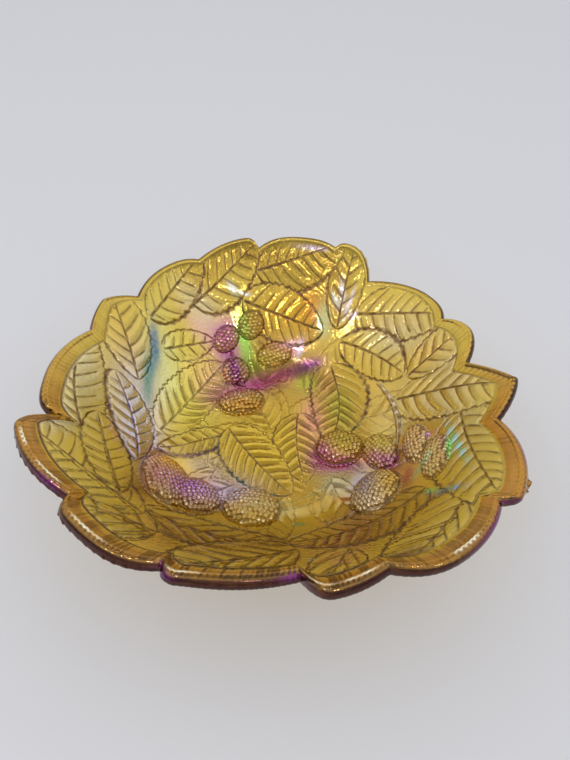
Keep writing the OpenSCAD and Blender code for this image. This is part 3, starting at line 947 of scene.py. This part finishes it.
def build_lower():
    """The floor's outer part and the lower wall, up to the rim leaves, and the foot ring under them."""
    a = rim_columns(COLUMNS_PER_DEGREE / 2)[0]
    share = np.linspace(FLOOR_PART, 1, LOWER_ROWS)[None, :] + 0 * a
    r = share * LEAF_START * oval(a)
    both = two_faces(a + 0 * r, r, 0 * r, 0 * r)
    normals = np.concatenate([grid_normals(face["points"], True) for face in both], axis=1)
    sheet = flatten(join_sheets(both), normals)
    rows = 2 * LOWER_ROWS
    faces = grid_faces(len(a), rows, True)
    faces = faces[faces[:, 0] % rows != LOWER_ROWS - 1]
    away = np.hypot(*sheet["points"][faces[:, 0], :2].T)
    in_foot = (faces[:, 0] % rows >= LOWER_ROWS) & (away > FOOT_IN - 1) & (away < FOOT_OUT + 1)
    inner_leaves = ["inner_leaf_%02d" % (k + 1) for k in range(8)]
    body = open_faces(sheet, faces[~in_foot])
    glass_piece("bowl_body_glass", sheet, [body], ["bowl_body"] + inner_leaves)
    glass_piece("foot_ring_glass", sheet, [faces[in_foot]], ["foot_ring"])


def build_floor():
    """The two faces of the floor's inner part, each closed in the middle by a cap of triangles."""
    a = rim_columns(COLUMNS_PER_DEGREE / 4)[0]
    share = np.linspace(FLOOR_CAP, FLOOR_PART, FLOOR_ROWS)[None, :] + 0 * a
    r = share * LEAF_START * oval(a)
    columns, rows = len(a), FLOOR_ROWS
    ring = np.arange(columns)
    for name, face, pole_row in zip(("top", "base"), two_faces(a + 0 * r, r, 0 * r, 0 * r), (0, rows - 1)):
        sheet = flatten(face, grid_normals(face["points"], True))
        first = ring * rows + pole_row
        cap = np.roll(first, -1) if pole_row else first
        middle = {key: values[first].mean(axis=0, keepdims=True) for key, values in sheet.items()}
        sheet = {key: np.concatenate([values, middle[key]]) for key, values in sheet.items()}
        cap = np.stack([np.full(columns, columns * rows), cap, np.roll(cap, 1 if pole_row else -1)], axis=1)
        faces = [open_faces(sheet, grid_faces(columns, rows, True)), cap]
        glass_piece("bowl_floor_%s_glass" % name, sheet, faces, ["bowl_body"])


build_wall()
build_lower()
build_floor()

# ---------------------------------------------------------------- berries

# Distance between the small round cells, and the radius of each as a share of it.
CELL_PITCH = 3.0
CELL_RADIUS = 0.58
# Share of the cells that get a painted glint, and how deep a berry is seated in the glass.
GLINT_CELL_SHARE = 0.14
BERRY_SEAT = 0.4
# A berry's height is this share of its width, and this much more.
HEIGHT_SHARE = 0.25
HEIGHT_MORE = 0.8
BERRY_COLUMNS = 200
BERRY_ROWS = 76
# Colours that shine through on the cells and, darker as painted shade, between them, and of the painted
# highlight film on top of a cell.
BERRY_TINT = np.array((0.92, 0.62, 0.16))
HOLLOW_SHADE_TINT = np.array((0.26, 0.07, 0.05))
CROWN_HIGHLIGHT_FILM = np.array((0.95, 0.62, 0.30))


def drupelets(length, width, height):
    """Centres of the small round cells: staggered rows over the dome and one ring round its foot."""
    cells = []
    rows = int(width / CELL_PITCH) + 1
    for j in range(-rows, rows + 1):
        for i in range(-2 * rows, 2 * rows + 1):
            u = (i + 0.5 * (j % 2) + 0.15 * math.sin(7 * i + 3 * j)) * CELL_PITCH
            v = 0.87 * j * CELL_PITCH + 0.12 * math.sin(5 * i - 2 * j) * CELL_PITCH
            out = math.hypot(2 * u / length, 2 * v / width)
            if out < 0.9:
                cells.append((u, v, height * math.sqrt(1 - out * out)))
    count = round(math.pi * (length + width) / 2 / CELL_PITCH)
    for k in range(count):
        g = 2 * math.pi * k / count
        cells.append((length / 2 * math.cos(g), width / 2 * math.sin(g), 0.1 * height))
    return np.array(cells)


def build_berry(number, place, length, width, heading):
    """A dome of small round cells, seated in the glass and open underneath."""
    height = HEIGHT_SHARE * width + HEIGHT_MORE
    g = np.linspace(0, 2 * math.pi, BERRY_COLUMNS, endpoint=False)[:, None]
    f = np.linspace(-0.25, math.pi / 2 - 0.02, BERRY_ROWS)[None, :]
    half = np.array([length / 2, width / 2, height])
    dome = np.stack([np.cos(f) * np.cos(g), np.cos(f) * np.sin(g), np.sin(f) + 0 * g], axis=-1) * half
    dome = np.concatenate([dome.reshape(-1, 3), [[0, 0, height]]])

    # Each point bulges with the cell that is nearest to it.
    cells = drupelets(length, width, height)
    away = np.array([np.linalg.norm(dome - cell, axis=-1) for cell in cells])
    gap = away.min(axis=0) / CELL_PITCH
    glint_cells = (chance.random(len(cells)) < GLINT_CELL_SHARE)[away.argmin(axis=0)] * (1 - smooth((gap - 0.16) / 0.1))
    bulge = CELL_PITCH * np.sqrt(np.maximum(0, CELL_RADIUS**2 - np.minimum(gap, CELL_RADIUS) ** 2))
    outward = dome / half**2
    outward = outward / np.linalg.norm(outward, axis=-1, keepdims=True)
    dome = dome * 0.93 + outward * (0.8 * bulge)[:, None]
    origin, lead, side, normal = berry_frame(place, heading)
    points = origin - normal * BERRY_SEAT + dome @ np.stack([lead, side, normal])

    # Painted shade darkens the tint and the film between the cells, a painted highlight lightens the film on
    # top of each, and a few cells get a painted glint.
    hollow_shade = smooth((gap - 0.36) / 0.18)
    crown_highlight = 1 - smooth(gap / 0.3)
    colour, cover = blend(points[:, 0], points[:, 1], FILM, GOLD)
    colour = mix(colour * (1.2 - 0.6 * hollow_shade)[:, None], CROWN_HIGHLIGHT_FILM, 0.4 * crown_highlight)
    strength = (0.20 + 0.70 * cover) * (1 - 0.3 * hollow_shade)
    sheet = {
        "points": points,
        "normals": None,
        "tint": mix(BERRY_TINT, HOLLOW_SHADE_TINT, 0.5 * hollow_shade),
        "film": mix(colour, PAINTED_GLINT, glint_cells),
        "look": looks(strength + (PAINTED_GLINT_FILM - strength) * glint_cells, BERRY_ROUGHNESS),
    }
    ring = np.arange(BERRY_COLUMNS) * BERRY_ROWS + BERRY_ROWS - 1
    cap = np.stack([np.full(BERRY_COLUMNS, BERRY_COLUMNS * BERRY_ROWS), ring, np.roll(ring, -1)], axis=1)
    faces = [grid_faces(BERRY_COLUMNS, BERRY_ROWS, True)[:, ::-1], cap]
    node_name = "berry_%02d" % number
    make_piece(node_name + "_glass", sheet, faces, berry_glass, [node_name])


for number, berry in enumerate(BERRIES, 1):
    build_berry(number, *berry)

# ---------------------------------------------------------------- stems

STEM_COLUMNS = 70
STEM_SIDES = 18
# How deep a stem is seated in the glass.
STEM_SEAT = 0.3


def build_stem(number, start, end, bend, half):
    """A bent round stem that tapers to both ends, with painted shade along its sides."""
    start, end = np.array(start, float), np.array(end, float)
    length = np.hypot(*(end - start))
    side = np.array([start[1] - end[1], end[0] - start[0]]) / length
    around = np.linspace(0, 2 * math.pi, STEM_SIDES, endpoint=False)[:, None]
    rings = []
    for s in np.linspace(0, 1, STEM_COLUMNS):
        origin, normal = on_glass(*(start + (end - start) * s + side * bend * 4 * s * (1 - s)))
        flat = level_with(np.append(side, 0.0), normal)
        wide = half * (0.35 + 0.65 * math.sin(math.pi * s) ** 0.4) * (1 + 0.08 * math.sin(s * length * 0.9))
        rings.append(origin - normal * STEM_SEAT + wide * (flat * np.cos(around) + normal * np.sin(around)))
    points = np.swapaxes(rings, 0, 1).reshape(-1, 3)
    first = np.arange(STEM_SIDES) * STEM_COLUMNS
    ends = np.stack([first[::-1], first + STEM_COLUMNS - 1])
    colour, cover = blend(points[:, 0], points[:, 1], FILM, GOLD)
    # Painted shade darkens the tint and the film along the stem's sides.
    sides = np.repeat(np.abs(np.cos(around)) ** 4, STEM_COLUMNS, axis=1).reshape(-1, 1)
    sheet = {
        "points": points,
        "normals": None,
        "tint": HONEY * (1 - 0.9 * sides),
        "film": colour * (1 - 0.85 * sides),
        "look": looks(0.3 + 0.3 * cover, BERRY_ROUGHNESS),
    }
    faces = [grid_faces(STEM_SIDES, STEM_COLUMNS, True), ends]
    node_name = "stem_%02d" % number
    make_piece(node_name + "_glass", sheet, faces, berry_glass, [node_name])


for number, stem in enumerate(STEMS, 1):
    build_stem(number, *stem)

# ---------------------------------------------------------------- table and light

TABLE_REACH = 3.0
SKY_STRENGTH = 0.79
# Colour of the sky at the horizon and straight up, and its brightness between them: height and level.
SKY_HORIZON = (0.45, 0.45, 0.47, 1)
SKY_TOP = (0.40, 0.40, 0.42, 1)
SKY_LEVELS = [(0.25, 0.62), (0.42, 0.95), (0.62, 1.35), (0.80, 1.15), (0.9, 0.55)]
# Point that the lamps face.
LAMP_TARGET = np.array((0, 0, 0.03))

table_material = bpy.data.materials.new("table")
table_material.use_nodes = True
paint = table_material.node_tree.nodes["Principled BSDF"]
paint.inputs["Base Color"].default_value = (0.78, 0.79, 0.82, 1)
paint.inputs["Roughness"].default_value = 0.45
table_mesh = bpy.data.meshes.new("table")
table_corners = [(x * TABLE_REACH, y * TABLE_REACH, 0) for x, y in ((-1, -1), (1, -1), (1, 1), (-1, 1))]
table_mesh.from_pydata(table_corners, [], [(0, 1, 2, 3)])
table_mesh.materials.append(table_material)
table = bpy.data.objects.new("table", table_mesh)
bpy.context.scene.collection.objects.link(table)

world = bpy.data.worlds.new("studio")
world.use_nodes = True
sky = world.node_tree
background = sky.nodes["Background"]
background.inputs["Strength"].default_value = SKY_STRENGTH
direction = sky.nodes.new("ShaderNodeTexCoord")
split = sky.nodes.new("ShaderNodeSeparateXYZ")
sky.links.new(direction.outputs["Generated"], split.inputs["Vector"])
fade = sky.nodes.new("ShaderNodeValToRGB")
fade.color_ramp.elements[0].position = 0.0
fade.color_ramp.elements[0].color = SKY_HORIZON
fade.color_ramp.elements[1].position = 1.0
fade.color_ramp.elements[1].color = SKY_TOP
for height, level in SKY_LEVELS:
    fade.color_ramp.elements.new(height).color = (level, level, 1.03 * level, 1)
sky.links.new(split.outputs["Z"], fade.inputs["Fac"])
sky.links.new(fade.outputs["Color"], background.inputs["Color"])
bpy.context.scene.world = world


def area_light(name, place, width, height, power, colour):
    """A soft rectangular lamp that faces the bowl."""
    light = bpy.data.lights.new(name, "AREA")
    light.shape = "RECTANGLE"
    light.size = width
    light.size_y = height
    light.energy = power
    light.color = colour
    lamp = bpy.data.objects.new(name, light)
    lamp.location = place
    away = np.array(place, float) - LAMP_TARGET
    lean = math.acos(away[2] / np.linalg.norm(away))
    lamp.rotation_euler = Euler((lean, 0, math.atan2(away[1], away[0]) + math.pi / 2))
    bpy.context.scene.collection.objects.link(lamp)


area_light("window_middle", (-0.37, -1.03, 1.18), 0.13, 0.09, 1.2, (1, 0.98, 0.98))
area_light("window_right", (0.52, -1.15, 0.99), 0.09, 0.07, 0.7, (0.98, 1, 0.98))
area_light("window_left", (-0.95, -0.88, 0.95), 0.12, 0.07, 0.8, (1, 0.98, 1))
area_light("ceiling", (-0.25, -0.6, 1.5), 0.7, 0.03, 1.1, (1, 0.97, 1))

bpy.context.scene.view_settings.view_transform = "Standard"
